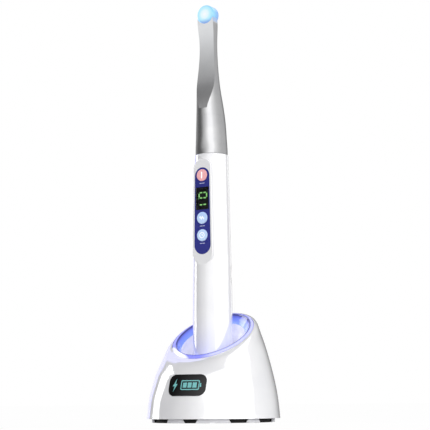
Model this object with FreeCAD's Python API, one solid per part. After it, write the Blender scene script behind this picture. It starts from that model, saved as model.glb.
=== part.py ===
import FreeCAD, Part
import math
import os

# Cordless pen-type curing light standing in its domed charging stand.
# Millimetres, +Z up. Origin: centre of the stand's footprint, on the surface it stands on.
# The front (control panel, lens, badge plate) faces -Y.

V = FreeCAD.Vector
UP = V(0, 0, 1)

# ---- handpiece ---------------------------------------------------------------------------------
pen_bottom = 19.0       # height of the handpiece's end on the socket floor
tail_top = 24.0         # joint between tail cap and handle
handle_top = 175.2
handle_wall = [(13.0, tail_top), (13.02, 50.0), (12.87, 80.0), (12.02, 126.0), (11.1, handle_top - 0.4)]
bay_r = 10.4            # battery bay
bay_top = 92.0
board_bay_r = 9.2       # bay behind the control panel

pad_y = -11.9           # plane of the flat raised pad
pad_low, pad_low_r = 109.4, 7.9     # lower end: centre height and radius
pad_high, pad_high_r = 165.0, 6.8
panel_proud = 0.1
panel_seat_y = -11.4
panel_low, panel_low_r = 114.5, 6.2
panel_high, panel_high_r = 160.1, 5.5

button_r = 3.92
button_hole_r = 4.0
button_face_y = -12.5
button_end_y = -7.2
power_z, mode_z, timer_z = 160.4, 132.1, 120.7

window_half = 5.0
window_low, window_high = 137.65, 152.45
digit_half_w, digit_half_h, segment = 1.75, 2.9, 0.8
one_z, zero_z = 139.25, 147.2
module_face_y = -10.9

board_half = 7.5
board_front_y, board_back_y = -3.5, -1.9
board_low, board_high = 88.0, 163.6
switch_half = 3.0
screw_xs, screw_z = (-4.5, 4.5), 94.0

cell_r, cell_low, cell_length = 9.0, 33.0, 49.0
liner_r, liner_out_r = 9.15, 10.35
bulkhead_low, bulkhead_high = 84.0, 86.5

contact_x = 5.0         # charging contacts and pins, each side of the axis
contact_z = 20.0

# ---- head --------------------------------------------------------------------------------------
head_bottom = 175.4
seam_z = 201.2
tip_z, tip_r = 270.7, 6.3
cover_front_y, cover_back_y = -7.6, 0.0
neck_back_y = 1.0
# Height, half-width, front, back and squareness (2 is an ellipse) of the head's outside.
head_sections = [
    (head_bottom, 10.6, -10.6, 10.6, 2.0),
    (184.0, 10.35, -10.6, 10.4, 2.0),
    (193.0, 9.9, -10.65, 9.95, 2.0),
    (201.0, 9.25, -10.8, 9.2, 2.05),
    (208.0, 8.6, -11.0, 7.9, 2.1),
    (214.0, 8.0, -11.0, 6.2, 2.25),
    (220.0, 7.4, -10.9, 4.4, 2.5),
    (226.0, 6.9, -10.7, 2.9, 3.0),
    (232.0, 6.35, -10.5, 2.0, 3.6),
    (239.0, 5.85, -10.4, 1.5, 4.2),
    (248.0, 5.55, -10.4, 1.2, 4.6),
    (256.0, 5.75, -10.4, 1.1, 4.6),
    (263.5, 6.1, -10.4, 1.0, 4.6),
    (tip_z, 5.3, -10.4, 1.0, 4.6),
]
# Front-to-back place and height of points on the concave front face, from its foot to the tip.
scoop_foot = (-13.5, 204.6)
scoop = [(-10.4, 206.0), (-9.35, 213.3), (-7.0, 222.5), (-5.75, 234.0), (-5.2, 246.5), (-5.6, 255.0),
         (-6.3, 260.5), (-6.9, 265.0), (-7.1, 272.0)]
spigot_r, spigot_bore_r = 6.5, 6.56
spigot_low = 166.6
duct_y = -2.1

# ---- stand -------------------------------------------------------------------------------------
tilt = math.radians(34.0)       # slope of the top opening, low at the front
stand_r = 43.2
shell_bottom = 2.5
# The dome's wall leans over more and more towards its sloping top. Each section is an ellipse:
# reach and height of its front, reach and height of its back, half-width.
wall_sections = [
    (stand_r, shell_bottom, stand_r, shell_bottom, stand_r),
    (42.4, 10.0, 42.8, 12.0, 42.2),
    (41.4, 17.0, 41.5, 24.0, 40.6),
    (39.3, 24.0, 39.1, 38.0, 37.8),
    (36.6, 30.5, 35.8, 52.0, 34.5),
    (33.4, 34.8, 32.5, 62.0, 31.7),
    (29.5, 38.0, 28.6, 68.7, 30.4),
    (26.2, 39.7, 26.2, 71.3, 29.3),
    (23.2, 40.5, 23.2, 71.8, 28.05),
]
shell_wall = 2.0
ring_r = 27.9
ring_top = 56.1         # height, on the axis, of the ring's sloping outer edge
ring_seat = 50.6
collar_r = 29.6
flange_low, flange_high, flange_r = 47.0, 48.4, 29.4
cup_screw_at, cup_screw_top = 28.7, 51.5     # radius on the slope and height of the thread's end
cup_rim_r, cup_rim_z = 21.85, 52.4
socket_r, socket_out_r = 13.3, 15.2
socket_floor = 17.5
skirt_r, skirt_in_r = 39.7, 38.7
skirt_low = 0.12
plate_r, plate_top = 41.0, 4.5
foot_in_r, foot_out_r, foot_half_deg = 34.4, 38.6, 33.5
# Direction and half-width of each notch in the skirt.
notches = [(-119.5, 10.4), (-79.5, 4.4), (-34.4, 5.9), (1.4, 8.7)]
notches += [(angle, 6.0) for angle in (41.0, 81.0, 121.0, 161.0, 201.0)]
foot_angles = [-95 + 72 * k for k in range(5)]
boss_r, boss_at_r, boss_low = 2.8, 36.2, 6.5
charge_board_low, charge_board_high = 6.1, 7.7
inlet_z, inlet_face_y = 13.6, 38.0
badge_half_w, badge_low, badge_high, badge_corner = 12.8, 16.8, 30.2, 4.4
badge_turn = 7.0        # degrees from the front, towards +X
badge_proud, badge_sunk = 0.4, 0.8
pin_travel = 0.8


# ---- helpers -----------------------------------------------------------------------------------
def box(x0, x1, y0, y1, z0, z1):
    return Part.makeBox(x1 - x0, y1 - y0, z1 - z0, V(x0, y0, z0))


def rod(r, z0, z1, x=0.0, y=0.0):
    return Part.makeCylinder(r, z1 - z0, V(x, y, z0))


def rod_y(r, y0, y1, x=0.0, z=0.0):
    return Part.makeCylinder(r, y1 - y0, V(x, y0, z), V(0, 1, 0))


def tube(r_out, r_in, z0, z1, x=0.0, y=0.0):
    return rod(r_out, z0, z1, x, y).cut(rod(r_in, z0 - 1, z1 + 1, x, y))


def turned(points):
    """Solid of revolution about Z from a closed outline of (radius, height) points."""
    corners = [V(r, 0, z) for r, z in points]
    wire = Part.makePolygon(corners + corners[:1])
    return Part.Face(wire).revolve(V(0, 0, 0), UP, 360)


def turned_smooth(curve_points, rest):
    """Solid of revolution whose outline is a smooth curve closed by straight lines."""
    curve = Part.BSplineCurve()
    curve.interpolate([V(r, 0, z) for r, z in curve_points])
    lines = [curve_points[-1]] + rest + [curve_points[0]]
    edges = [curve.toShape()]
    for a, b in zip(lines, lines[1:]):
        edges.append(Part.makeLine(V(a[0], 0, a[1]), V(b[0], 0, b[1])))
    return Part.Face(Part.Wire(edges)).revolve(V(0, 0, 0), UP, 360)


def short_steps(points, count):
    """Points along the smooth curve through the given ones, which keeps a sloped solid's faces simple."""
    curve = Part.BSplineCurve()
    curve.interpolate([V(r, 0, z) for r, z in points])
    return [(p.x, p.z) for p in curve.toShape().discretize(count)]


def tapered_slot(low, low_r, high, high_r, y0, y1):
    """Prism along Y of a slot with round ends of two sizes, centred on X = 0."""
    lean = math.asin((low_r - high_r) / (high - low))
    right = V(math.cos(lean), 0, math.sin(lean))
    left = V(-math.cos(lean), 0, math.sin(lean))
    a, b = V(0, y0, low), V(0, y0, high)
    edges = [
        Part.makeLine(a + right * low_r, b + right * high_r),
        Part.Arc(b + right * high_r, b + V(0, 0, high_r), b + left * high_r).toShape(),
        Part.makeLine(b + left * high_r, a + left * low_r),
        Part.Arc(a + left * low_r, a - V(0, 0, low_r), a + right * low_r).toShape(),
    ]
    return Part.Face(Part.Wire(edges)).extrude(V(0, y1 - y0, 0))


def rounded_plate(half_x, z0, z1, corner, y0, y1):
    """Prism along Y of a rectangle with round corners."""
    body = box(-half_x, half_x, y0, y1, z0, z1)
    upright = [e for e in body.Edges if abs(e.Vertexes[0].Y - e.Vertexes[1].Y) > 1e-6]
    return body.makeFillet(corner, upright)


def tilted(shape):
    """Slope an upright shape: a level circle becomes one of the same radius that is low at the front."""
    m = FreeCAD.Matrix()
    m.A22 = math.cos(tilt)
    m.A32 = math.sin(tilt)
    return shape.transformGeometry(m)


def polar(radius, angle_deg, z=0.0):
    a = math.radians(angle_deg)
    return V(radius * math.cos(a), radius * math.sin(a), z)


def wedge(half_deg, r_in, r_out, z0, z1, at_deg):
    """Arc-shaped block round Z, centred on one direction."""
    ring = Part.makeCylinder(r_out, z1 - z0, V(0, 0, z0), UP, 2 * half_deg)
    ring = ring.cut(rod(r_in, z0 - 1, z1 + 1))
    ring.rotate(V(0, 0, 0), UP, at_deg - half_deg)
    return ring


def spring(mean_r, wire_r, z0, z1, turns, x=0.0, y=0.0):
    height = z1 - z0 - 2 * wire_r
    helix = Part.makeLongHelix(height / turns, height, mean_r)
    ring = Part.Wire(Part.makeCircle(wire_r, V(mean_r, 0, 0), V(0, 1, 0)))
    coil = Part.Wire(helix.Edges).makePipeShell([ring], True, True)
    coil.translate(V(x, y, z0 + wire_r))
    return coil


def fused(first, *others):
    return first.multiFuse(list(others)).removeSplitter()


def save(name, solids):
    """Write one sub-part as a STEP file, after checking each of its solids."""
    if not isinstance(solids, list):
        solids = [solids]
    loose = []
    for shape in solids:
        loose += shape.Solids
    for solid in loose:
        if not solid.isValid() or solid.Volume <= 0:
            raise ValueError("bad solid in " + name)
    body = loose[0] if len(loose) == 1 else Part.makeCompound(loose)
    body.exportStep("parts/" + name + ".step")
    print(name, len(loose), round(sum(s.Volume for s in loose), 2))


# ---- handpiece: handle -------------------------------------------------------------------------
def handle_housing():
    rim_r = handle_wall[-1][0]
    body = turned_smooth(handle_wall, [(rim_r - 0.4, handle_top), (0, handle_top), (0, tail_top)])
    pad = tapered_slot(pad_low, pad_low_r, pad_high, pad_high_r, pad_y, -6.0)
    face_edges = [e for e in pad.Edges if max(v.Y for v in e.Vertexes) < pad_y + 0.01]
    pad = pad.makeFillet(0.6, face_edges)
    above_pad = tapered_slot(pad_low, pad_low_r, pad_high, pad_high_r, -20.0, pad_y)
    body = body.cut(above_pad).fuse(pad)
    cavity = turned([(0, tail_top - 1), (bay_r, tail_top - 1), (bay_r, bay_top),
                     (board_bay_r, bay_top + 3), (board_bay_r, handle_top + 1), (0, handle_top + 1)])
    seat = tapered_slot(panel_low, panel_low_r + 0.05, panel_high, panel_high_r + 0.05, -20.0, panel_seat_y)
    body = body.cut(cavity).cut(seat)
    for z in (power_z, mode_z, timer_z):
        body = body.cut(rod_y(button_hole_r, -20.0, -5.0, 0, z))
    opening = box(-window_half - 0.05, window_half + 0.05, -20.0, -5.0, window_low - 0.05, window_high + 0.05)
    save("handle_housing", body.cut(opening))


def keypad_panel():
    face_y = pad_y - panel_proud
    panel = tapered_slot(panel_low, panel_low_r, panel_high, panel_high_r, face_y, panel_seat_y)
    for z in (power_z, mode_z, timer_z):
        panel = panel.cut(rod_y(button_hole_r, -20.0, -5.0, 0, z))
    opening = box(-window_half - 0.05, window_half + 0.05, -20.0, -5.0, window_low - 0.05, window_high + 0.05)
    save("keypad_panel", panel.cut(opening))


def push_button(name, z):
    cap = rod_y(button_r, button_face_y, button_end_y, 0, z)
    front = [e for e in cap.Edges if max(v.Y for v in e.Vertexes) < button_face_y + 0.01]
    cap = cap.makeFillet(0.3, front)
    flange = rod_y(4.6, -7.8, button_end_y, 0, z)
    save(name, fused(cap, flange))


def display():
    window = box(-window_half, window_half, pad_y - panel_proud, -11.2, window_low, window_high)
    save("display_window", window)
    module = box(-4.9, 4.9, module_face_y, board_front_y, window_low + 0.1, window_high - 0.1)
    save("display_module", module)
    lit = digit(zero_z, "abcdef")
    lit += digit(one_z, "bc")
    save("lit_segments", lit)
    save("dark_segments", digit(zero_z, "g"))


def digit(centre_z, names):
    """Segments of one seven-segment digit lying on its side, top towards -X, read from below."""
    w, h, t = digit_half_w, digit_half_h, segment / 2
    gap = 0.12
    cells = {
        "a": (-h, 0, 0, 1), "d": (h, 0, 0, 1), "g": (0, 0, 0, 1),
        "b": (-h / 2, w, 1, 0), "c": (h / 2, w, 1, 0),
        "f": (-h / 2, -w, 1, 0), "e": (h / 2, -w, 1, 0),
    }
    solids = []
    for name in names:
        x, up, along_x, along_z = cells[name]
        half_x = h / 2 - t - gap if along_x else t
        half_z = w - t - gap if along_z else t
        z = centre_z + up
        solids.append(box(x - half_x, x + half_x, -11.1, module_face_y, z - half_z, z + half_z))
    return solids


def electronics():
    board = box(-board_half, board_half, board_front_y, board_back_y, board_low, board_high)
    for x in screw_xs:
        board = board.cut(rod_y(0.9, -6, 0, x, screw_z))
    save("main_board", board)
    switches = []
    for z in (power_z, mode_z, timer_z):
        body = box(-switch_half, switch_half, -6.0, board_front_y, z - switch_half, z + switch_half)
        switches.append(fused(body, rod_y(1.7, -6.7, -6.0, 0, z)))
    save("tactile_switches", switches)
    chips = [
        box(-3.5, 3.5, board_back_y, -0.9, 140.0, 147.0),
        box(-6.0, -3.0, board_back_y, -0.4, 128.0, 133.0),
        box(1.0, 6.0, board_back_y, 0.9, 126.0, 131.0),
        rod_y(2.4, board_back_y, 3.2, -3.0, 118.5),
    ]
    for k in range(5):
        chips.append(box(-5.6 + 2.4 * k, -4.4 + 2.4 * k, board_back_y, -1.2, 151.0, 153.0))
    save("board_parts", chips)
    save("buzzer", rod_y(4.6, board_back_y, 1.9, 0.0, 108.5))
    screws = []
    for x in screw_xs:
        head = rod_y(1.6, -4.3, board_front_y, x, screw_z)
        head = head.cut(box(x - 1.2, x + 1.2, -5, -3.9, screw_z - 0.2, screw_z + 0.2))
        screws.append(fused(head, rod_y(0.85, board_front_y, 0.8, x, screw_z)))
    save("board_screws", screws)


def chassis():
    liner = tube(liner_out_r, liner_r, 31.0, bulkhead_low)
    bulkhead = rod(liner_out_r, bulkhead_low, bulkhead_high).cut(rod(3.4, 80, 90))
    body = fused(liner, bulkhead)
    groove = box(-board_half, board_half, board_front_y, board_back_y, bulkhead_high, board_high)
    for side in (-1, 1):
        x_in, x_out = sorted((side * 6.9, side * 8.0))
        rail = box(x_in, x_out, -4.3, -1.1, bulkhead_high - 0.5, board_high)
        body = body.fuse(rail)
    boss = box(-7.2, 7.2, board_back_y, 1.6, 88.5, 97.0)
    body = body.fuse(boss).cut(groove)
    for x in screw_xs:
        body = body.cut(rod_y(0.85, -6, 0.8, x, screw_z))
    save("inner_chassis", body)


def battery():
    top = cell_low + cell_length
    can = turned([(0, cell_low), (cell_r - 0.5, cell_low), (cell_r, cell_low + 0.5), (cell_r, top - 0.5),
                  (cell_r - 0.5, top), (2.8, top), (2.8, top + 0.9), (0, top + 0.9)])
    save("battery_cell", can)
    plate = rod(2.6, top + 0.9, top + 1.3).fuse(rod(3.3, top + 1.3, bulkhead_high - 0.6))
    stem = box(-1.2, 1.2, -1.2, 1.2, bulkhead_high - 0.6, bulkhead_high + 0.8)
    save("cell_contact", fused(plate, stem))
    save("battery_spring", spring(5.2, 0.45, 27.0, cell_low, 4))


def tail():
    shell = turned([(0, pen_bottom), (11.6, pen_bottom), (12.6, pen_bottom + 0.6), (13.0, pen_bottom + 1.8),
                    (13.0, tail_top), (10.3, tail_top), (10.3, 30.6), (8.8, 30.6), (8.8, 27.0), (0, 27.0)])
    pads = []
    for side in (-1, 1):
        x = side * contact_x
        shell = shell.cut(rod(1.3, pen_bottom - 1, contact_z, x)).cut(rod(2.3, contact_z, 21.4, x))
        pads.append(rod(2.3, contact_z, 21.4, x))
    save("tail_cap", shell)
    save("charging_contacts", pads)


# ---- handpiece: head ---------------------------------------------------------------------------
def squared_ring(z, half_w, front, back, power):
    """Closed smooth section between an ellipse and a rectangle."""
    steps = 36
    mid, depth = (front + back) / 2, (back - front) / 2
    points = []
    for k in range(steps):
        a = 2 * math.pi * k / steps
        c, s = math.cos(a), math.sin(a)
        reach = (abs(c) ** power + abs(s) ** power) ** (-1 / power)
        points.append(V(half_w * reach * c, mid + depth * reach * s, z))
    curve = Part.BSplineCurve()
    curve.interpolate(points, PeriodicFlag=True)
    return Part.Wire(curve.toShape())


def head_outside():
    body = Part.makeLoft([squared_ring(*s) for s in head_sections], True, False)
    tip = rod_y(5.6, cover_back_y - 1.0, neck_back_y, 0, tip_z)
    rear = [e for e in tip.Edges if min(v.Y for v in e.Vertexes) > neck_back_y - 0.01]
    tip = tip.makeFillet(0.7, rear)
    curve = Part.BSplineCurve()
    curve.interpolate([V(0, y, z) for y, z in scoop])
    corners = [scoop[-1], (-20.0, 285.0), (-20.0, scoop_foot[1]), scoop_foot, scoop[0]]
    edges = [curve.toShape()]
    for a, b in zip(corners, corners[1:]):
        edges.append(Part.makeLine(V(0, a[0], a[1]), V(0, b[0], b[1])))
    cutter = Part.Face(Part.Wire(edges)).extrude(V(15, 0, 0))
    cutter = cutter.fuse(cutter.mirror(V(0, 0, 0), V(1, 0, 0)))
    body = body.cut(cutter)
    body = body.cut(box(-20, 20, -20, 20, tip_z, 290))
    seat = rod_y(tip_r + 0.02, -20, cover_back_y, 0, tip_z)
    return body.fuse(tip).cut(seat)


def head_shell():
    body = head_outside()
    cavity = turned([(0, head_bottom - 1), (8.6, head_bottom - 1), (8.6, 180.0), (8.2, 190.0), (6.8, seam_z),
                     (3.4, 215.0), (0, 215.0)])
    duct = box(-3.8, 3.8, duct_y - 1.5, duct_y + 1.5, 208.0, tip_z - 5.0)
    upright = [e for e in duct.Edges if abs(e.Vertexes[0].Z - e.Vertexes[1].Z) > 1]
    duct = duct.makeFillet(1.2, upright)
    body = body.cut(cavity).cut(duct)
    lower = box(-20, 20, -20, 20, head_bottom - 1, seam_z)
    groove = tube(20.0, 0.1, seam_z - 0.12, seam_z + 0.12)
    sleeve = body.common(lower)
    neck = body.cut(lower)
    core = head_inset(0.12)
    sleeve = sleeve.cut(groove.cut(core))
    neck = neck.cut(groove.cut(core))
    save("head_sleeve", sleeve)
    save("head_neck", neck)


def head_inset(depth):
    """The head's outline at the seam, drawn in by a small depth."""
    sections = [s for s in head_sections if 190 < s[0] < 216]
    return Part.makeLoft([squared_ring(z, w - depth, f + depth, b - depth, p) for z, w, f, b, p in sections],
                         True, False)


def lens_stack():
    cover = rod_y(tip_r, cover_front_y, cover_back_y, 0, tip_z)
    front = [e for e in cover.Edges if max(v.Y for v in e.Vertexes) < cover_front_y + 0.01]
    cover = cover.makeFillet(1.3, front)
    cover = cover.cut(rod_y(5.3, -6.8, cover_back_y + 1, 0, tip_z))
    way_in = box(-3.4, 3.4, duct_y - 1.6, cover_back_y + 1, tip_z - 7.0, tip_z - 4.0)
    save("lens_cover", cover.cut(way_in))
    ring = Part.makeCone(2.6, 5.2, 1.9, V(0, -4.9, tip_z), V(0, -1, 0))
    ring = ring.cut(Part.makeCone(2.2, 4.9, 1.95, V(0, -4.88, tip_z), V(0, -1, 0)))
    save("reflector", ring)
    chip = box(-1.5, 1.5, -5.3, -4.9, tip_z - 1.5, tip_z + 1.5)
    dome = Part.makeSphere(1.4, V(0, -5.3, tip_z)).common(box(-3, 3, -8, -5.3, tip_z - 3, tip_z + 3))
    save("led_emitter", fused(chip, dome).cut(Part.makeCone(3.4, 6, 2, V(0, -3, tip_z), V(0, 1, 0))))
    save("led_board", rod_y(5.2, -4.9, -3.7, 0, tip_z))
    save("heat_slug", rod_y(5.2, -3.7, cover_back_y, 0, tip_z))
    save("heat_pipe", rod(1.4, 184.0, tip_z - 5.3, 0, duct_y))
    leads = [rod(0.45, 184.0, tip_z - 5.4, side * 2.6, duct_y) for side in (-1, 1)]
    save("led_leads", leads)


def head_joint():
    spigot = turned([(2.3, spigot_low), (6.1, spigot_low), (spigot_r, spigot_low + 0.4), (spigot_r, 170.0),
                     (5.75, 170.0), (5.75, 171.3), (spigot_r, 171.3), (spigot_r, head_bottom + 0.1),
                     (8.55, head_bottom + 0.1), (8.55, 178.5), (2.3, 178.5)])
    save("head_spigot", spigot)
    seal = Part.makeTorus(6.12, 0.37, V(0, 0, 170.65), UP)
    save("head_seal", seal)
    pin = turned([(0, 164.3), (1.0, 164.3), (1.5, 165.0), (1.5, 178.5), (2.2, 178.5), (2.2, 181.0), (0, 181.0)])
    save("head_pin", pin)
    insulator = tube(2.28, 1.52, spigot_low, 178.4)
    save("pin_insulator", insulator)
    socket = tube(9.15, spigot_bore_r, 166.2, handle_top).fuse(tube(9.15, 2.2, 165.2, 166.2))
    save("head_socket", socket.removeSplitter())
    save("socket_contact", tube(2.1, 1.56, 164.0, 166.2))


# ---- stand -------------------------------------------------------------------------------------
def oval(front, front_z, back, back_z, half_w):
    """Ellipse whose front and back points stand at two heights."""
    steps = 24
    mid = V(0, (back - front) / 2, (back_z + front_z) / 2)
    half = V(0, (back + front) / 2, (back_z - front_z) / 2)
    points = []
    for k in range(steps):
        a = 2 * math.pi * k / steps
        points.append(mid + V(half_w * math.cos(a), 0, 0) + half * math.sin(a))
    curve = Part.BSplineCurve()
    curve.interpolate(points, PeriodicFlag=True)
    return Part.Wire(curve.toShape())


def dome(grow):
    """The stand's outside, or the same shape grown or shrunk by an even amount."""
    sections = []
    for front, front_z, back, back_z, half_w in wall_sections:
        lift = grow * (back_z - front_z) / (back_z + front_z)
        sections.append((front + grow, front_z + lift, back + grow, back_z + lift, half_w + grow))
    return Part.makeLoft([oval(*s) for s in sections], True, False)


def stand_shell(outside, badge):
    hollow = dome(-shell_wall).cut(tilted(rod(60, ring_top - shell_wall, 90)))
    hollow = hollow.cut(tilted(tube(collar_r, ring_r, flange_high, ring_top)))
    for angle in foot_angles:
        at = polar(boss_at_r, angle)
        hollow = hollow.cut(tube(boss_r, 0.9, boss_low, 60.0, at.x, at.y))
        hollow = hollow.cut(rod(0.91, boss_low + 12, 60.0, at.x, at.y))
    body = outside.cut(hollow).cut(tilted(rod(ring_r + 0.05, 30, 80)))
    for side in (-1, 1):
        body = body.cut(slope_rod(0.46, side, flange_high - 0.1, cup_screw_top))
    ledge = rod(plate_r + 0.05, shell_bottom - 4, plate_top + 0.05)
    recess = rounded_plate(6.0, inlet_z - 5.0, inlet_z + 5.0, 3.0, 30.0, 60.0)
    save("stand_shell", body.cut(ledge).cut(recess).cut(badge))


def badge_plate(badge):
    save("badge_plate", badge)


def badge_icon():
    """Battery outline with a bolt and three level bars, standing just proud of the badge plate."""
    skin = dome(badge_proud + 0.12).cut(dome(badge_proud))
    mid = (badge_low + badge_high) / 2
    frame = rounded_plate(6.2, mid - 3.0, mid + 3.0, 0.9, -60, -20)
    frame = frame.cut(rounded_plate(5.6, mid - 2.4, mid + 2.4, 0.5, -60, -20))
    frame.translate(V(2.6, 0, 0))
    cap = box(9.1, 9.9, -60, -20, mid - 1.2, mid + 1.2)
    marks = [frame, cap]
    for k in range(3):
        left = -2.1 + 3.3 * k
        marks.append(box(left, left + 2.6, -60, -20, mid - 1.6, mid + 1.6))
    bolt = [(-7.0, 4.0), (-9.6, -0.6), (-8.1, -0.6), (-9.0, -4.0), (-6.2, 0.8), (-7.7, 0.8)]
    corners = [V(x, -60, mid + z) for x, z in bolt]
    face = Part.Face(Part.makePolygon(corners + corners[:1]))
    marks.append(face.extrude(V(0, 40, 0)))
    for mark in marks:
        mark.rotate(V(0, 0, 0), UP, badge_turn)
    save("badge_icon", [skin.common(m) for m in marks])


def light_ring():
    crest = [(ring_r, ring_top - 0.6), (27.3, ring_top + 0.15), (26.2, ring_top + 0.7), (25.1, ring_top + 0.8),
             (24.5, ring_top), (23.2, 54.4), (cup_rim_r + 0.1, cup_rim_z)]
    outline = short_steps(crest, 15) + [(cup_rim_r + 0.1, ring_seat), (ring_r, ring_seat)]
    save("light_ring", tilted(turned(outline)))
    board = tube(27.2, 23.0, flange_high, flange_high + 1.2)
    save("ring_light_board", tilted(board))
    leds = []
    for k in range(10):
        led = box(-1.1, 1.1, -1.1, 1.1, flange_high + 1.2, flange_high + 1.9)
        led.translate(V(25.1, 0, 0))
        led.rotate(V(0, 0, 0), UP, 36 * k)
        leds.append(tilted(led))
    save("ring_leds", leds)


def socket_cup():
    rim = cup_rim_z
    funnel = turned([(0, 36.0), (13.6, 36.0), (16.4, 42.0), (cup_rim_r, 47.4), (cup_rim_r, rim), (0, rim)])
    flange = turned([(0, flange_low), (flange_r, flange_low), (flange_r, flange_high), (0, flange_high)])
    outer = tilted(funnel).fuse(tilted(flange))
    outer = outer.fuse(rod(socket_out_r, socket_floor, 40.0))
    hollow = tilted(turned([(0, 38.0), (12.0, 38.0), (15.0, 43.4), (20.0, 47.6), (20.9, 49.2), (21.3, rim + 1),
                            (0, rim + 1)]))
    bore = rod(socket_r, pen_bottom, 90.0)
    cup = outer.cut(hollow).cut(bore)
    for side in (-1, 1):
        cup = cup.cut(rod(0.95, socket_floor - 1, pen_bottom + 1, side * contact_x))
        cup = cup.cut(slope_rod(0.46, side, flange_low - 1, cup_screw_top))
    save("socket_cup", cup)


def slope_rod(radius, side, low, high):
    """Cylinder square to the slope at one side of the collar, between two heights of the slope."""
    normal = V(0, -math.sin(tilt), math.cos(tilt))
    start = V(side * cup_screw_at, 0, flange_low) + normal * (low - flange_low) * math.cos(tilt)
    return Part.makeCylinder(radius, (high - low) * math.cos(tilt), start, normal)


def cup_screws():
    screws = []
    for side in (-1, 1):
        head = slope_rod(0.7, side, flange_low - 0.9, flange_low)
        screws.append(fused(head, slope_rod(0.45, side, flange_low, cup_screw_top)))
    save("cup_screws", screws)


def base_plate():
    plate = rod(plate_r, shell_bottom, plate_top)
    skirt = tube(skirt_r, skirt_in_r, skirt_low, shell_bottom)
    body = plate.fuse(skirt)
    for angle, half in notches:
        body = body.cut(notch(angle, half))
    for angle in foot_angles:
        at = polar(boss_at_r, angle)
        pad = rod(4.0, plate_top, boss_low, at.x, at.y).common(rod(plate_r - 0.6, 0, 20))
        head = rod(2.4, 0, 4.3, at.x, at.y)
        hole = rod(1.3, 0, boss_low + 1, at.x, at.y)
        body = body.fuse(pad).cut(head).cut(hole)
    for x in (-10.5, 10.5):
        for y in (-11.5, 22.0):
            body = body.fuse(rod(2.0, plate_top, charge_board_low, x, y))
    save("base_plate", body.removeSplitter())


def notch(angle, half):
    """Notch in the skirt, wider at the top, cut outwards through it."""
    low, high = half - 0.75, half + 0.75
    corners = [V(30, -low, 0), V(30, low, 0), V(30, high, shell_bottom), V(30, -high, shell_bottom)]
    prism = Part.Face(Part.makePolygon(corners + corners[:1])).extrude(V(15, 0, 0))
    prism = prism.cut(rod(skirt_in_r - 0.3, -1, 5))
    prism.rotate(V(0, 0, 0), UP, angle)
    return prism


def rubber_feet():
    feet = [wedge(foot_half_deg, foot_in_r, foot_out_r, 0.0, shell_bottom, a) for a in foot_angles]
    save("rubber_feet", feet)


def base_screws():
    screws = []
    for angle in foot_angles:
        at = polar(boss_at_r, angle)
        head = rod(2.3, 2.9, 4.3, at.x, at.y)
        slot = box(at.x - 1.6, at.x + 1.6, at.y - 0.3, at.y + 0.3, 2.0, 3.4)
        cross = box(at.x - 0.3, at.x + 0.3, at.y - 1.6, at.y + 1.6, 2.0, 3.4)
        shank = rod(0.88, 4.3, boss_low + 7, at.x, at.y)
        screws.append(head.cut(slot).cut(cross).fuse(shank).removeSplitter())
    save("base_screws", screws)


def ballast():
    ring = tube(32.0, 21.0, plate_top, 12.5)
    save("ballast", ring.cut(box(-15, 15, 0, 40, 0, 20)))


def charging_electronics():
    board = box(-13, 13, -14, 36, charge_board_low, charge_board_high)
    save("charging_board", board)
    parts = [box(-10, -4, 8, 14, charge_board_high, 9.4), box(3, 11, 12, 20, charge_board_high, 12.0),
             rod(3.0, charge_board_high, 15.0, -9.0, 23.0)]
    for k in range(4):
        parts.append(box(-11.5, -9.5, -10 + 4 * k, -8.6 + 4 * k, charge_board_high, 8.6))
    save("charging_parts", parts)
    block = box(-8, 8, -3, 3, charge_board_high, socket_floor)
    barrels = []
    for side in (-1, 1):
        x = side * contact_x
        block = block.cut(rod(1.5, charge_board_high, socket_floor + 1, x))
        barrels.append(rod(1.5, charge_board_high, socket_floor, x)
                       .cut(rod(1.05, charge_board_high + 0.8, socket_floor + 1, x)))
    save("pin_block", block)
    save("pin_barrels", barrels)


def charge_pin(side, x):
    shaft = turned([(0, 13.0), (1.0, 13.0), (1.0, socket_floor - pin_travel * 0.5), (0.85, socket_floor - 0.2),
                    (0.85, contact_z - 0.5), (0.45, contact_z), (0, contact_z)])
    shaft.translate(V(x, 0, 0))
    save("charge_pin_" + side, shaft)
    save("pin_spring_" + side, spring(0.72, 0.16, charge_board_high + 0.8, 13.0, 6, x))


def dc_inlet():
    body = box(-4.5, 4.5, 24.5, inlet_face_y, charge_board_high, inlet_z + 4.6)
    body = body.cut(rod_y(2.8, 28.5, 60.0, 0, inlet_z))
    save("dc_inlet", body)
    pin = rod_y(1.0, 28.5, inlet_face_y - 0.8, 0, inlet_z)
    save("inlet_pin", pin)


# ---- all pieces --------------------------------------------------------------------------------
def build_handpiece():
    handle_housing()
    keypad_panel()
    push_button("power_button", power_z)
    push_button("mode_button", mode_z)
    push_button("timer_button", timer_z)
    display()
    electronics()
    chassis()
    battery()
    tail()
    head_shell()
    lens_stack()
    head_joint()


def build_stand():
    outside = dome(0.0)
    region = rounded_plate(badge_half_w, badge_low, badge_high, badge_corner, -60.0, -20.0)
    region.rotate(V(0, 0, 0), UP, badge_turn)
    badge = dome(badge_proud).common(region).cut(dome(-badge_sunk))
    stand_shell(outside, badge)
    badge_plate(badge)
    badge_icon()
    light_ring()
    socket_cup()
    cup_screws()
    base_plate()
    rubber_feet()
    base_screws()
    ballast()
    charging_electronics()
    charge_pin("left", -contact_x)
    charge_pin("right", contact_x)
    dc_inlet()


os.makedirs("parts", exist_ok=True)
build_handpiece()
build_stand()
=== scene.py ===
import math

import bmesh
import bpy
from mathutils import Matrix, Vector


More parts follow.
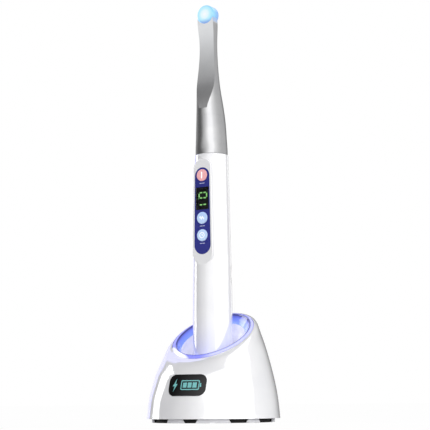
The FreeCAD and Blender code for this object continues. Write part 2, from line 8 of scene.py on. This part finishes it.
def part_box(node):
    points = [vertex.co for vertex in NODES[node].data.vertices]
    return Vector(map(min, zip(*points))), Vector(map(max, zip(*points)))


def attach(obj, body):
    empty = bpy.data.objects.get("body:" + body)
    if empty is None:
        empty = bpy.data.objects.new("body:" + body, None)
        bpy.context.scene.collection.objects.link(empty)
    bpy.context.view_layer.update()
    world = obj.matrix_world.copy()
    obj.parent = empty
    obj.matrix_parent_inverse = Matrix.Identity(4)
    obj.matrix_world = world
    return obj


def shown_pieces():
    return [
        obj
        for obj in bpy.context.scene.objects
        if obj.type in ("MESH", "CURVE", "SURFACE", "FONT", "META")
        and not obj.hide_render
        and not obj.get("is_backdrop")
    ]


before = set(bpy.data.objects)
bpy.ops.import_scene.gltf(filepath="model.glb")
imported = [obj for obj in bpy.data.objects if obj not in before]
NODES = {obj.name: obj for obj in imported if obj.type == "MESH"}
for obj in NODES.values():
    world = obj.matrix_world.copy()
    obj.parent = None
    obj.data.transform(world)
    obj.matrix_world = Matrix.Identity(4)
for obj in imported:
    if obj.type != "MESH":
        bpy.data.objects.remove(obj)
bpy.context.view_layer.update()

# Looks of a pen-type curing light in its charging stand. Metres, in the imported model's frame:
# +Z up, the control panel and the lens face -Y.

MM = 0.001

# ---- view --------------------------------------------------------------------------------------
VIEW_AZIMUTH = math.radians(32.0)      # the camera stands this far round from the front, towards +X
VIEW_PITCH = math.radians(8.09)        # it looks up
VIEW_ROLL = math.radians(0.42)
CAMERA_DISTANCE = 0.861
CAMERA_HEIGHT = 0.013
CAMERA_ASIDE = 0.00196
LENS = 110.1

# Level directions, towards the camera and to its right.
TOWARDS = Vector((math.sin(VIEW_AZIMUTH), -math.cos(VIEW_AZIMUTH), 0))
RIGHTWARDS = Vector((math.cos(VIEW_AZIMUTH), math.sin(VIEW_AZIMUTH), 0))

TILT = math.radians(34.0)              # slope of the light ring

# Brightness of the surround by direction, in degrees round from the camera's side, rightwards.
SURROUND = [
    (-180, 0.2), (-150, 0.35), (-135, 0.3), (-112, 0.12), (-80, 0.1), (-68, 0.28), (-56, 0.5), (-45, 0.66),
    (-32, 0.92), (-18, 1.3), (12, 1.35), (24, 1.02), (40, 0.85), (56, 0.68), (75, 0.56), (118, 0.5),
    (135, 0.42), (150, 0.15), (180, 0.2),
]
SURROUND_TOP = 2.0                     # the brightest that the surround's ramp can say
OVERHEAD = 0.3                         # brightness straight above
OVERHEAD_FROM, OVERHEAD_TO = 0.5, 0.95     # upward part of the direction over which that takes over

# A card low at the left, which the head's hollow face mirrors.
CARD_BRIGHTNESS = 0.22
CARD_AROUND = ((-92, 0), (-74, 1), (-54, 1), (-38, 0))
CARD_TOP, CARD_FULL = 0.26, -0.06      # upward part of the direction where it starts and is full

FLOOR_GREY = 0.6
FLOOR_RADIUS = 6.0
LIGHT_AIM = 0.1                        # height that the lamps point at

BARE_HEAD = {"head_sleeve", "head_neck"}   # these mirror the surround and no lamp lights them

# Heights and radii in mm, where a finish or a painted light changes.
PAINTED_SPILL_FROM, PAINTED_SPILL_TO = 212.0, 266.0    # painted light: the lens cover's light grows on the scoop
PAINTED_TIP_FROM, PAINTED_TIP_TO = 263.8, 266.4        # and painted blue light on the neck's tip, right by the cover
PAINTED_TINGE_HIGH, PAINTED_TINGE_LOW = 72.0, 34.0     # the ring's blue light is painted on the handle between these heights
RING_INNER, RING_OUTER = 21.9, 27.9    # the light ring, measured in the slope of its opening
LENS_REACH = 10.5                      # from the middle of the lens cover's face to its far rim
LENS_LOW_RIM = 3.5                     # height of its bluer foot
LENS_RIPPLE = 0.7                      # how far the frosting shifts its colours

PAINTED_RING_GLOW = "D4D6FF"                   # painted light: the ring's light, painted as a glow in its cup and on the buttons
PAINTED_RING_TINGE = "B4B6FF"                  # and its blue light, painted on the foot of the handle
MARK_DEPTH = 0.04                      # thickness of the prints on the buttons, in mm


def hex_colour(text):
    """Linear RGBA of a display colour written as six hex digits."""
    channels = [int(text[k:k + 2], 16) / 255 for k in (0, 2, 4)]
    linear = [c / 12.92 if c <= 0.04045 else ((c + 0.055) / 1.055) ** 2.4 for c in channels]
    return (*linear, 1.0)


# ---- node graphs -------------------------------------------------------------------------------
class Graph:
    """Short way to write a node tree."""

    def __init__(self, tree):
        self.tree = tree
        tree.nodes.clear()

    def put(self, socket, value):
        if isinstance(value, bpy.types.NodeSocket):
            self.tree.links.new(value, socket)
        elif isinstance(value, str):
            socket.default_value = hex_colour(value)
        else:
            socket.default_value = value

    def add(self, kind, inputs=None, **settings):
        node = self.tree.nodes.new("ShaderNode" + kind)
        for name, value in settings.items():
            setattr(node, name, value)
        for key, value in (inputs or {}).items():
            self.put(node.inputs[key], value)
        return node

    def math(self, operation, *values, clamp=False):
        node = self.add("Math", operation=operation, use_clamp=clamp)
        for socket, value in zip(node.inputs, values):
            self.put(socket, value)
        return node.outputs[0]

    def mix(self, factor, a, b):
        node = self.add("Mix", data_type="RGBA")
        self.put(node.inputs["Factor"], factor)
        self.put(node.inputs[6], a)
        self.put(node.inputs[7], b)
        return node.outputs[2]

    def ramp(self, value, stops, smooth=True):
        """Colour at value, from (place, colour) stops; a colour is hex text or a grey number."""
        node = self.add("ValToRGB", {"Fac": value})
        band = node.color_ramp
        band.interpolation = "EASE" if smooth else "LINEAR"
        while len(band.elements) < len(stops):
            band.elements.new(0.5)
        for element, (place, _) in zip(band.elements, stops):
            element.position = place
        for element, (_, colour) in zip(band.elements, stops):
            element.color = hex_colour(colour) if isinstance(colour, str) else (colour, colour, colour, 1.0)
        return node.outputs["Color"]

    def range(self, value, low, high, to_low=0.0, to_high=1.0):
        """Smooth step from to_low, where value is low, to to_high, where value is high."""
        node = self.add("MapRange", {"Value": value, "From Min": low, "From Max": high,
                                     "To Min": to_low, "To Max": to_high})
        node.interpolation_type = "SMOOTHSTEP"
        return node.outputs["Result"]

    def place(self):
        """x, y and z in the object's own frame, which is the model's frame at rest."""
        coordinates = self.add("TexCoord").outputs["Object"]
        parts = self.add("SeparateXYZ", {0: coordinates}).outputs
        return coordinates, parts[0], parts[1], parts[2]

    def noise(self, vector, scale, detail=3.0, roughness=0.5):
        node = self.add("TexNoise", {"Vector": vector, "Scale": scale,
                                     "Detail": detail, "Roughness": roughness})
        return node.outputs["Fac"]

    def stretched(self, vector, x, y, z):
        return self.add("Mapping", {"Vector": vector, "Scale": (x, y, z)}).outputs[0]

    def bump(self, height, strength, distance):
        """Surface direction with the bumps of a height map; distance is their height in metres."""
        node = self.add("Bump", {"Height": height, "Strength": strength, "Distance": distance})
        return node.outputs["Normal"]

    def surface(self, **inputs):
        """Principled surface; names are its inputs with underscores for spaces."""
        shader = self.add("BsdfPrincipled", {k.replace("_", " "): v for k, v in inputs.items()})
        self.add("OutputMaterial", {"Surface": shader.outputs[0]})


def material(name):
    """An empty material and its graph."""
    mat = bpy.data.materials.new(name)
    mat.use_nodes = True
    return mat, Graph(mat.node_tree)


# ---- materials ---------------------------------------------------------------------------------
def moulded(name, colour, shade, roughness, coat=0.0, grain=0.3, gloss=0.5, painted_glow=0.0, painted_ring_tinge=0.0):
    """Moulded plastic: cloudy colour, a fine skin texture, and smudges that change the gloss.

    Its glow is painted light: the ring's light painted on as a glow of its own, though it is no lamp. Its
    ring tinge is painted light too: the ring's blue light painted on it low down, by the ring.
    """
    mat, g = material(name)
    where, _, _, z = g.place()
    cloud = g.noise(where, scale=55.0, detail=2.0)
    skin = g.noise(where, scale=2600.0, detail=4.0, roughness=0.6)
    smudge = g.noise(where, scale=160.0, detail=3.0, roughness=0.65)
    body = g.mix(g.range(cloud, 0.35, 0.65), shade, colour)
    # Painted light: the ring's blue light painted on low down, fading out upwards.
    painted_tinge_mask = g.range(z, PAINTED_TINGE_HIGH * MM, PAINTED_TINGE_LOW * MM, 0.0, painted_ring_tinge)
    g.surface(
        Base_Color=g.mix(painted_tinge_mask, body, PAINTED_RING_TINGE),
        # Painted light: a glow of the ring's light, though the part is no lamp.
        Emission_Color=PAINTED_RING_GLOW,
        Emission_Strength=painted_glow,
        Roughness=g.range(smudge, 0.3, 0.7, roughness * 0.8, roughness * 1.25),
        Specular_IOR_Level=gloss,
        Coat_Weight=coat,
        Coat_Roughness=0.04,
        Coat_IOR=1.7,
        Normal=g.bump(skin, strength=grain, distance=0.02 * MM),
    )
    return mat


def rubber(name, colour, shade):
    """Dull rubber with fine pores."""
    mat, g = material(name)
    where, _, _, _ = g.place()
    pores = g.noise(where, scale=1800.0, detail=5.0, roughness=0.7)
    g.surface(
        Base_Color=g.mix(g.noise(where, scale=300.0), colour, shade),
        Roughness=g.range(pores, 0.3, 0.7, 0.55, 0.8),
        Normal=g.bump(pores, strength=0.6, distance=0.06 * MM),
    )
    return mat


def metal(name, colour, shade, roughness=0.3, turned=False, grain=0.5):
    """Metal with a blasted grain, or with fine turned lines round the vertical."""
    mat, g = material(name)
    where, _, _, _ = g.place()
    lines = g.stretched(where, 0.04, 0.04, 1.0) if turned else where
    fine = g.noise(lines, scale=5200.0, detail=3.0, roughness=0.6)
    cloud = g.noise(where, scale=120.0, detail=2.0)
    g.surface(
        Base_Color=g.mix(g.range(cloud, 0.3, 0.7), shade, colour),
        Metallic=1.0,
        Roughness=g.range(fine, 0.3, 0.7, roughness * 0.85, roughness * 1.15),
        Normal=g.bump(fine, strength=grain, distance=0.01 * MM),
    )
    return mat


def circuit(name, mask, trace):
    """Solder mask with darker copper runs and small plated dots."""
    mat, g = material(name)
    where, _, _, _ = g.place()
    runs = g.add("TexBrick", {"Vector": g.stretched(where, 260.0, 260.0, 260.0), "Scale": 1.0,
                              "Mortar Size": 0.06, "Color1": mask, "Color2": mask, "Mortar": trace})
    dots = g.add("TexVoronoi", {"Vector": where, "Scale": 420.0}).outputs["Distance"]
    g.surface(
        Base_Color=g.mix(g.range(dots, 0.12, 0.16), "C9A85A", runs.outputs["Color"]),
        Roughness=0.3,
        Coat_Weight=0.4,
        Normal=g.bump(runs.outputs["Fac"], strength=0.4, distance=0.03 * MM),
    )
    return mat


def satin_metal(name, painted_spill=0.0):
    """Blasted metal with painted light: spill is how brightly the lens cover's light is painted on the top of
    the scoop's flat face, and the neck's round tip by the cover is painted with its blue light.
    """
    mat, g = material(name)
    where, _, _, z = g.place()
    fine = g.noise(where, scale=5200.0, detail=3.0, roughness=0.6)
    cloud = g.noise(where, scale=120.0, detail=2.0)
    # Only the scoop's flat face looks nearly straight towards -Y: the neck's round sides don't.
    facing = g.add("SeparateXYZ", {0: g.add("TexCoord").outputs["Normal"]}).outputs[1]
    flat = g.range(facing, -0.86, -0.94)
    # Painted light: the lens cover's light, painted on the scoop's flat face and growing upwards.
    painted_scoop_light = g.math("MULTIPLY", flat, g.range(z, PAINTED_SPILL_FROM * MM, PAINTED_SPILL_TO * MM, 0.0, painted_spill))
    tip = g.range(z, PAINTED_TIP_FROM * MM, PAINTED_TIP_TO * MM)
    # Painted light: the cover's blue light, painted on the neck's round tip just below it.
    painted_tip_glow = g.math("MULTIPLY", g.math("SUBTRACT", 1.0, flat), tip)
    roughness = 0.24
    g.surface(
        Base_Color=g.mix(g.range(cloud, 0.3, 0.7), "E0E0E2", "E6E6E7"),
        Metallic=1.0,
        Roughness=g.range(fine, 0.3, 0.7, roughness * 0.85, roughness * 1.15),
        Normal=g.bump(fine, strength=0.35, distance=0.01 * MM),
        Emission_Color=g.mix(painted_tip_glow, "F4F7FA", "6CACF6"),
        Emission_Strength=g.math("ADD", painted_scoop_light, g.math("MULTIPLY", painted_tip_glow, 0.5)),
    )
    return mat


def lens():
    """Frosted cap lit from behind: white at the middle of its face, blue towards its rim."""
    mat, g = material("lens_glow")
    low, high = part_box("lens_cover")
    middle = ((low[0] + high[0]) / 2, low[1], (low[2] + high[2]) / 2)
    where, _, _, z = g.place()
    gap = g.add("VectorMath", {0: where, 1: middle}, operation="DISTANCE").outputs["Value"]
    frost = g.noise(where, scale=1500.0, detail=3.0)
    wavy = g.math("ADD", gap, g.math("MULTIPLY", g.math("SUBTRACT", frost, 0.5), LENS_RIPPLE * MM))
    painted_glow = g.ramp(g.math("DIVIDE", wavy, LENS_REACH * MM), [
        (0.0, "FFFFFF"), (0.22, "EEFDFF"), (0.42, "C4F5FE"),
        (0.6, "9DDDF9"), (0.8, "93C3F1"), (1.0, "8FA6E6")])
    low_rim = g.range(z, low[2] + LENS_LOW_RIM * MM, low[2], 0.0, 0.75)
    g.surface(
        Base_Color="1E3C64",
        Roughness=0.25,
        Coat_Weight=0.3,
        Emission_Color=g.mix(low_rim, painted_glow, "8797DD"),
        Emission_Strength=0.92,
        Normal=g.bump(frost, strength=0.3, distance=0.03 * MM),
    )
    return mat


def ring_plastic():
    """Tinted clear plastic, lit from under it: deep blue inside a painted dark line along its crest, paler
    outside, with a painted reflection that makes its right side paler and a painted highlight at the front
    left.
    """
    mat, g = material("ring_plastic")
    where, x, y, _ = g.place()
    y_flat = g.math("DIVIDE", y, math.cos(TILT))
    radius = g.math("SQRT", g.math("ADD", g.math("MULTIPLY", x, x), g.math("MULTIPLY", y_flat, y_flat)))
    across = g.range(radius, RING_INNER * MM, RING_OUTER * MM)
    across.node.interpolation_type = "LINEAR"
    # Both ramps paint a dark line along the crest: painted shade where the clear edge bends the light away.
    deep = g.ramp(across, [
        (0.0, "7FA0FF"), (0.3, "7488F2"), (0.43, "5560CC"), (0.47, "262B78"),
        (0.57, "262B78"), (0.62, "7078E4"), (0.86, "8D90F2"), (1.0, "6A6CDE")], smooth=False)
    pale = g.ramp(across, [
        (0.0, "9DB8FF"), (0.3, "A3B4FA"), (0.43, "7C84E0"), (0.47, "2A2F7C"),
        (0.6, "2A2F7C"), (0.66, "B4B9F8"), (0.86, "CDD0FB"), (1.0, "8A8CE8")], smooth=False)
    # Painted reflection: it is paler at its right side, where it mirrors a light.
    rightwards = g.math("SUBTRACT", x, g.math("MULTIPLY", y, 0.2))
    tint = g.mix(g.range(rightwards, 8.0 * MM, 17.0 * MM), deep, pale)
    # Painted highlight: a patch of its outer edge, at the front left, is painted white where it mirrors a
    # light.
    highlight_x, highlight_y = -0.574, -0.819
    highlight_reach = g.math("ADD", g.math("MULTIPLY", x, highlight_x), g.math("MULTIPLY", y_flat, highlight_y))
    painted_highlight = g.math("MULTIPLY", g.range(highlight_reach, 24.2 * MM, 25.8 * MM), g.range(across, 0.58, 0.66))
    tint = g.mix(painted_highlight, tint, "F6F6FF")
    cloud = g.noise(where, scale=130.0, detail=2.0)
    g.surface(
        Base_Color=g.mix(g.math("MULTIPLY", cloud, 0.15), tint, "B9BEFF"),
        Roughness=0.16,
        IOR=1.49,
        Coat_Weight=0.6,
        Coat_Roughness=0.03,
        Emission_Color=tint,
        Emission_Strength=0.3,
        Normal=g.bump(g.noise(where, scale=900.0, detail=3.0), strength=0.15, distance=0.03 * MM),
    )
    return mat


def smoked_window():
    """Grey clear plastic that hardly bends what is behind it."""
    mat, g = material("smoked_window")
    where, _, _, _ = g.place()
    g.surface(
        Base_Color=g.mix(g.noise(where, scale=200.0), "B4B6BA", "C4C6CA"),
        Roughness=0.0,
        Transmission_Weight=1.0,
        IOR=1.2,
    )
    return mat


def glowing(name, colour, strength, spread=0.12):
    """Small lit part with a slightly uneven glow."""
    mat, g = material(name)
    where, _, _, _ = g.place()
    uneven = g.range(g.noise(where, scale=1400.0), 0.3, 0.7, strength * (1 - spread), strength * (1 + spread))
    g.surface(Base_Color=colour, Roughness=0.4, Emission_Color=colour, Emission_Strength=uneven)
    return mat


def wrapped_cell():
    """Shrink film with a pale band near its foot and bare metal at both ends."""
    mat, g = material("cell_wrap")
    where, _, _, z = g.place()
    low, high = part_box("battery_cell")
    length = high[2] - low[2]
    along = g.math("DIVIDE", g.math("SUBTRACT", z, low[2]), length)
    blue, pale = "1B5C8C", "D8DCE0"
    film = g.ramp(along, [
        (0.0, "B8BABD"), (0.02, blue), (0.12, blue), (0.13, pale),
        (0.16, pale), (0.17, blue), (0.955, blue), (0.97, "C4C6C9")], smooth=False)
    g.surface(
        Base_Color=film,
        Roughness=0.3,
        Coat_Weight=0.5,
        Normal=g.bump(g.noise(where, scale=500.0), strength=0.15, distance=0.04 * MM),
    )
    return mat


def plastics():
    """Moulded finishes, some with painted light, each with the nodes that have it."""
    gloss_white = {"colour": "F4F4F6", "shade": "F0F0F3", "roughness": 0.12, "coat": 1.0, "grain": 0.12,
                   "gloss": 1.0}
    return {
        moulded("white_plastic", **gloss_white): ["stand_shell"],
        # The handle has the ring's blue light painted on its foot.
        moulded("handle_plastic", **gloss_white, painted_ring_tinge=0.35): ["handle_housing", "tail_cap"],
        # The cup has the ring's light painted on as a glow.
        moulded("cup_plastic", "F1F1F8", "ECECF5", 0.4, coat=0.2, grain=0.15, painted_glow=0.22): ["socket_cup"],
        moulded("pale_plastic", "EFEFF2", "E9E9EE", 0.3, coat=0.2): ["inner_chassis", "base_plate"],
        moulded("navy_film", "252B8A", "1F2683", 0.3, coat=0.4, gloss=0.3): ["keypad_panel"],
        # The buttons have a faint painted glow that brightens them.
        moulded("pink_silicone", "FFBCBC", "FBB3B4", 0.35, coat=0.2, grain=0.5, painted_glow=0.05): ["power_button"],
        moulded("blue_silicone", "C4E0FF", "BAD8FF", 0.35, coat=0.2, grain=0.5, painted_glow=0.1): [
            "mode_button", "timer_button"],
        moulded("black_plastic", "17171A", "101012", 0.4, grain=0.6): [
            "display_module", "tactile_switches", "board_parts", "buzzer", "charging_parts",
            "pin_insulator", "pin_block", "dc_inlet"],
        moulded("unlit_digits", "1C2620", "161E1A", 0.4): ["dark_segments"],
        moulded("badge_gloss", "0B0B0D", "08080A", 0.1, coat=0.25, grain=0.05, gloss=0.35): ["badge_plate"],
        moulded("badge_print", "78C2C2", "6FB9BA", 0.35, coat=0.3): ["badge_icon"],
    }


def metals():
    """Metal finishes, one with painted light on the neck, each with the nodes that have it."""
    return {
        satin_metal("satin_metal"): ["head_sleeve", "head_spigot"],
        # The neck has the lens cover's light painted on its scoop and tip.
        satin_metal("satin_neck", painted_spill=0.38): ["head_neck"],
        metal("turned_steel", "B4B4B8", "A8A8AD", 0.28, turned=True): [
            "board_screws", "cup_screws", "base_screws", "battery_spring", "pin_spring_left",
            "pin_spring_right", "head_socket", "reflector"],
        metal("gold_plate", "D9B56A", "CFA95E", 0.2): [
            "cell_contact", "charging_contacts", "socket_contact", "head_pin", "pin_barrels",
            "charge_pin_left", "charge_pin_right", "inlet_pin"],
        metal("copper", "C98A63", "BC7C55", 0.3): ["heat_slug", "heat_pipe"],
        metal("cast_iron", "4A4A4D", "3E3E41", 0.6, grain=1.0): ["ballast"],
    }


def other_finishes():
    """Clear, lit, rubber and circuit-board finishes, each with the nodes that have it."""
    return {
        lens(): ["lens_cover"],
        ring_plastic(): ["light_ring"],
        smoked_window(): ["display_window"],
        glowing("green_digits", "9BE484", 1.25): ["lit_segments"],
        glowing("emitter", "CFE6FF", 3.0): ["led_emitter", "ring_leds"],
        circuit("circuit_board", "0D4A2A", "0A3820"): ["main_board", "ring_light_board", "charging_board"],
        circuit("light_board", "E4E6E8", "CFD2D6"): ["led_board"],
        wrapped_cell(): ["battery_cell"],
        rubber("lead_cover", "8C1414", "7A1010"): ["led_leads"],
        rubber("black_rubber", "0B0B0C", "161617"): ["rubber_feet", "head_seal"],
    }


def paint_nodes():
    """Give every CAD node its finish."""
    for mat, names in {**plastics(), **metals(), **other_finishes()}.items():
        for name in names:
            piece = NODES[name]
            if not piece.material_slots:
                piece.data.materials.append(mat)
            for slot in piece.material_slots:
                slot.material = mat


# ---- printed marks on the buttons and the panel ------------------------------------------------
def flat_marks(name, outlines, face_y, thickness, mat, body):
    """Thin raised prints on a face that looks towards -Y, from closed outlines of (x, z) in mm."""
    mesh = bpy.data.meshes.new(name)
    bm = bmesh.new()
    for outline in outlines:
        ring = [bm.verts.new((x * MM, face_y * MM, z * MM)) for x, z in outline]
        face = bm.faces.new(ring)
        made = bmesh.ops.extrude_face_region(bm, geom=[face])
        front = [v for v in made["geom"] if isinstance(v, bmesh.types.BMVert)]
        bmesh.ops.translate(bm, verts=front, vec=(0, -thickness * MM, 0))
    bmesh.ops.recalc_face_normals(bm, faces=bm.faces)
    bm.to_mesh(mesh)
    bm.free()
    piece = bpy.data.objects.new(name, mesh)
    bpy.context.scene.collection.objects.link(piece)
    mesh.materials.append(mat)
    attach(piece, body)


def bar(x0, x1, z0, z1, corner=0.0):
    """Rectangle outline with round corners."""
    if corner <= 0:
        return [(x0, z0), (x1, z0), (x1, z1), (x0, z1)]
    points = []
    steps = 4
    for cx, cz, start in ((x1 - corner, z0 + corner, -90), (x1 - corner, z1 - corner, 0),
                          (x0 + corner, z1 - corner, 90), (x0 + corner, z0 + corner, 180)):
        for k in range(steps + 1):
            a = math.radians(start + 90 * k / steps)
            points.append((cx + corner * math.cos(a), cz + corner * math.sin(a)))
    return points


def stroke(points, width):
    """Outline of a line of even width through the points."""
    left, right = [], []
    for k, point in enumerate(points):
        before = Vector(points[max(k - 1, 0)])
        after = Vector(points[min(k + 1, len(points) - 1)])
        along = (after - before).normalized()
        side = Vector((-along.y, along.x)) * width / 2
        here = Vector(point)
        left.append(tuple(here + side))
        right.append(tuple(here - side))
    return left + right[::-1]


def arc_points(cx, cz, radius, start, end, steps):
    """Points on an arc from start to end, in degrees."""
    angles = [math.radians(start + (end - start) * k / steps) for k in range(steps + 1)]
    return [(cx + radius * math.cos(a), cz + radius * math.sin(a)) for a in angles]


def middle_of(node):
    """x and z of the node's middle, in mm."""
    low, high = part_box(node)
    return (low[0] + high[0]) / 2 / MM, (low[2] + high[2]) / 2 / MM


def front_of(node):
    """How far the node reaches towards -Y, in mm."""
    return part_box(node)[0][1] / MM


def button_marks():
    """A bar on the power button, a wave on the mode button and a clock on the timer button."""
    # The prints give a faint glow of their own: painted light that keeps them white.
    print_white = glowing("button_print", "FDFDFF", 0.35)

    x, z = middle_of("power_button")
    half_width, half_height = 0.42, 2.2
    outline = bar(x - half_width, x + half_width, z - half_height, z + half_height, 0.4)
    flat_marks("power_mark", [outline], front_of("power_button"), MARK_DEPTH, print_white,
               "power_button")

    x, z = middle_of("mode_button")
    length, swing, steps = 3.4, 0.95, 16
    wave = [(x - length / 2 + length * k / steps, z + swing * math.sin(4 * math.pi * k / steps))
            for k in range(steps + 1)]
    flat_marks("mode_mark", [stroke(wave, 0.45)], front_of("mode_button"), MARK_DEPTH, print_white,
               "mode_button")

    x, z = middle_of("timer_button")
    dial_radius, half_hand = 1.75, 0.2
    dial = [stroke(arc_points(x, z, dial_radius, start, start + 180, 14), 0.4) for start in (90, 270)]
    hands = [bar(x - half_hand, x + half_hand, z - half_hand, z + 1.1),
             bar(x + half_hand, x + 0.95, z - half_hand, z + half_hand)]
    flat_marks("timer_mark", dial + hands, front_of("timer_button"), MARK_DEPTH, print_white,
               "timer_button")


def panel_marks():
    """Two short dashes under each button, and the point left of the digits."""
    pale = moulded("panel_print", "C9CEEA", "BFC5E6", 0.5)
    below, half_height = 5.3, 0.22
    dashes = []
    for name in ("power_button", "mode_button", "timer_button"):
        x, z = middle_of(name)
        low = z - below
        for left, right in ((-1.9, -0.3), (0.0, 1.9)):
            dashes.append(bar(x + left, x + right, low - half_height, low + half_height, 0.15))
    flat_marks("panel_dashes", dashes, front_of("keypad_panel"), 0.02, pale, "handpiece")

    _, z = middle_of("display_window")
    point_x, point_radius, point_depth = -3.4, 0.32, 0.1
    flat_marks("display_point", [arc_points(point_x, z, point_radius, 0, 340, 17)],
               front_of("lit_segments") + point_depth, point_depth,
               glowing("green_point", "5FA858", 1.0), "handpiece")


# ---- stage and light ---------------------------------------------------------------------------
def floor():
    """Plain pale floor: white to the eye, and grey in what it reflects onto the object."""
    mesh = bpy.data.meshes.new("floor")
    bm = bmesh.new()
    bmesh.ops.create_circle(bm, cap_ends=True, segments=96, radius=FLOOR_RADIUS)
    bm.to_mesh(mesh)
    bm.free()
    piece = bpy.data.objects.new("floor", mesh)
    bpy.context.scene.collection.objects.link(piece)
    mat, g = material("pale_floor")
    where, _, _, _ = g.place()
    seen = g.add("Emission", {"Color": g.mix(g.noise(where, scale=9.0), "FDFDFD", "FFFFFF"), "Strength": 1.0})
    felt = g.add("BsdfDiffuse", {"Color": (FLOOR_GREY, FLOOR_GREY, FLOOR_GREY, 1.0)})
    both = g.add("MixShader", {0: g.add("LightPath").outputs["Is Camera Ray"],
                               1: felt.outputs[0], 2: seen.outputs[0]})
    g.add("OutputMaterial", {"Surface": both.outputs[0]})
    mesh.materials.append(mat)
    piece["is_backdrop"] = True


def by_direction(g, turn, stops):
    """Grey that depends on the way round, from (degrees, grey) stops."""
    return g.ramp(turn, [(degrees / 360 + 0.5, grey) for degrees, grey in stops], smooth=False)


def studio():
    """Soft studio surround: its brightness depends on the direction, and it is plain white to the eye."""
    world = bpy.data.worlds.new("studio")
    bpy.context.scene.world = world
    world.use_nodes = True
    g = Graph(world.node_tree)
    direction = g.add("TexCoord").outputs["Generated"]
    towards = g.add("VectorMath", {0: direction, 1: TOWARDS}, operation="DOT_PRODUCT").outputs["Value"]
    rightwards = g.add("VectorMath", {0: direction, 1: RIGHTWARDS}, operation="DOT_PRODUCT").outputs["Value"]
    z = g.add("SeparateXYZ", {0: direction}).outputs[2]
    turn = g.math("ADD", g.math("DIVIDE", g.math("ARCTAN2", rightwards, towards), 2 * math.pi), 0.5)
    around = by_direction(g, turn, [(degrees, grey / SURROUND_TOP) for degrees, grey in SURROUND])
    card = g.math("MULTIPLY", by_direction(g, turn, CARD_AROUND), g.range(z, CARD_TOP, CARD_FULL))
    card = g.math("MULTIPLY", card, CARD_BRIGHTNESS / SURROUND_TOP)
    around = g.add("VectorMath", {0: around, 1: card}, operation="ADD").outputs[0]
    high = g.range(z, OVERHEAD_FROM, OVERHEAD_TO)
    bright = g.mix(high, around, (OVERHEAD / SURROUND_TOP,) * 3 + (1.0,))
    lit = g.add("Background", {"Color": bright, "Strength": SURROUND_TOP})
    plain = g.add("Background", {"Color": (1.0, 1.0, 1.0, 1.0), "Strength": 1.0})
    both = g.add("MixShader", {0: g.add("LightPath").outputs["Is Camera Ray"],
                               1: lit.outputs[0], 2: plain.outputs[0]})
    g.add("OutputWorld", {"Surface": both.outputs[0]})


def softbox(name, around, above, distance, size, power, lit, colour="FFFFFF"):
    """Area light of the given width and height that lights only some pieces.

    It stands round the object from the camera's side, by degrees rightwards and degrees up, in metres.
    """
    data = bpy.data.lights.new(name, "AREA")
    data.shape = "RECTANGLE"
    data.size, data.size_y = size
    data.energy = power
    data.color = hex_colour(colour)[:3]
    lamp = bpy.data.objects.new(name, data)
    turn, rise = math.radians(around), math.radians(above)
    level = TOWARDS * math.cos(turn) + RIGHTWARDS * math.sin(turn)
    out = level * math.cos(rise) + Vector((0, 0, math.sin(rise)))
    lamp.rotation_mode = "QUATERNION"
    lamp.rotation_quaternion = out.to_track_quat("Z", "Y")
    lamp.location = Vector((0, 0, LIGHT_AIM)) + out * distance
    bpy.context.scene.collection.objects.link(lamp)
    group = bpy.data.collections.new(name + "_lights")
    for piece in lit:
        group.objects.link(piece)
    lamp.light_linking.receiver_collection = group
    return lamp


def fill(name, around, power, lit):
    """Level light that shows in no reflection."""
    lamp = softbox(name, around, 0, 1.3, (0.5, 0.5), power, lit)
    lamp.visible_glossy = False


def window(name, around, above, size, power, lit):
    """Light that shows only as a reflection."""
    lamp = softbox(name, around, above, 1.2, size, power, lit)
    lamp.visible_diffuse = False


def lamps():
    """Soft light from the front, strips for the edges, and windows that the stand's shell mirrors."""
    all_lit = [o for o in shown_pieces() if o.name not in BARE_HEAD]
    shell = [NODES["stand_shell"]]
    rest = [o for o in all_lit if o.name != "stand_shell"]
    fill("front_left", -30, 5.0, all_lit)
    fill("front_right", 30, 2.4, all_lit)
    fill("pen_front", -30, 0.9, rest)
    fill("shell_right", 60, 10.0, shell)
    # Degrees rightwards, degrees up, distance, width and height, power, and what it lights.
    softbox("right", 60, 12, 1.2, (2.5, 0.9), 10.5, rest)
    softbox("right_rim", 150, 18, 1.1, (0.6, 1.2), 1.8, rest)
    softbox("left_strip", -121, 18, 1.1, (0.4, 1.2), 4.6, rest)
    softbox("shell_strip", -118, 16, 1.1, (0.42, 0.95), 4.5, shell)
    window("shell_window", 31, 24, (2.4, 1.4), 18.0, shell)
    window("shell_window_top", 62, 52, (0.85, 0.7), 4.0, shell)
    softbox("left_rim", -160, 18, 1.1, (0.7, 1.2), 3.6, all_lit, "B8B8FF")


def camera():
    """Long lens near the table's height, looking up."""
    up = Vector((0, 0, 1))
    forward = -TOWARDS * math.cos(VIEW_PITCH) + up * math.sin(VIEW_PITCH)
    level_up = up * math.cos(VIEW_PITCH) + TOWARDS * math.sin(VIEW_PITCH)
    right = RIGHTWARDS * math.cos(VIEW_ROLL) - level_up * math.sin(VIEW_ROLL)
    top = RIGHTWARDS * math.sin(VIEW_ROLL) + level_up * math.cos(VIEW_ROLL)
    data = bpy.data.cameras.new("camera")
    data.sensor_width = 36.0
    data.lens = LENS
    data.clip_start = 0.05
    data.clip_end = 20.0
    view = bpy.data.objects.new("camera", data)
    view.rotation_mode = "QUATERNION"
    view.rotation_quaternion = Matrix((right, top, -forward)).transposed().to_quaternion()
    view.location = TOWARDS * CAMERA_DISTANCE + RIGHTWARDS * CAMERA_ASIDE + up * CAMERA_HEIGHT
    bpy.context.scene.collection.objects.link(view)
    bpy.context.scene.camera = view


# ---- all together ------------------------------------------------------------------------------
bpy.context.scene.view_settings.view_transform = "Standard"
camera()
studio()
floor()
paint_nodes()
button_marks()
panel_marks()
lamps()
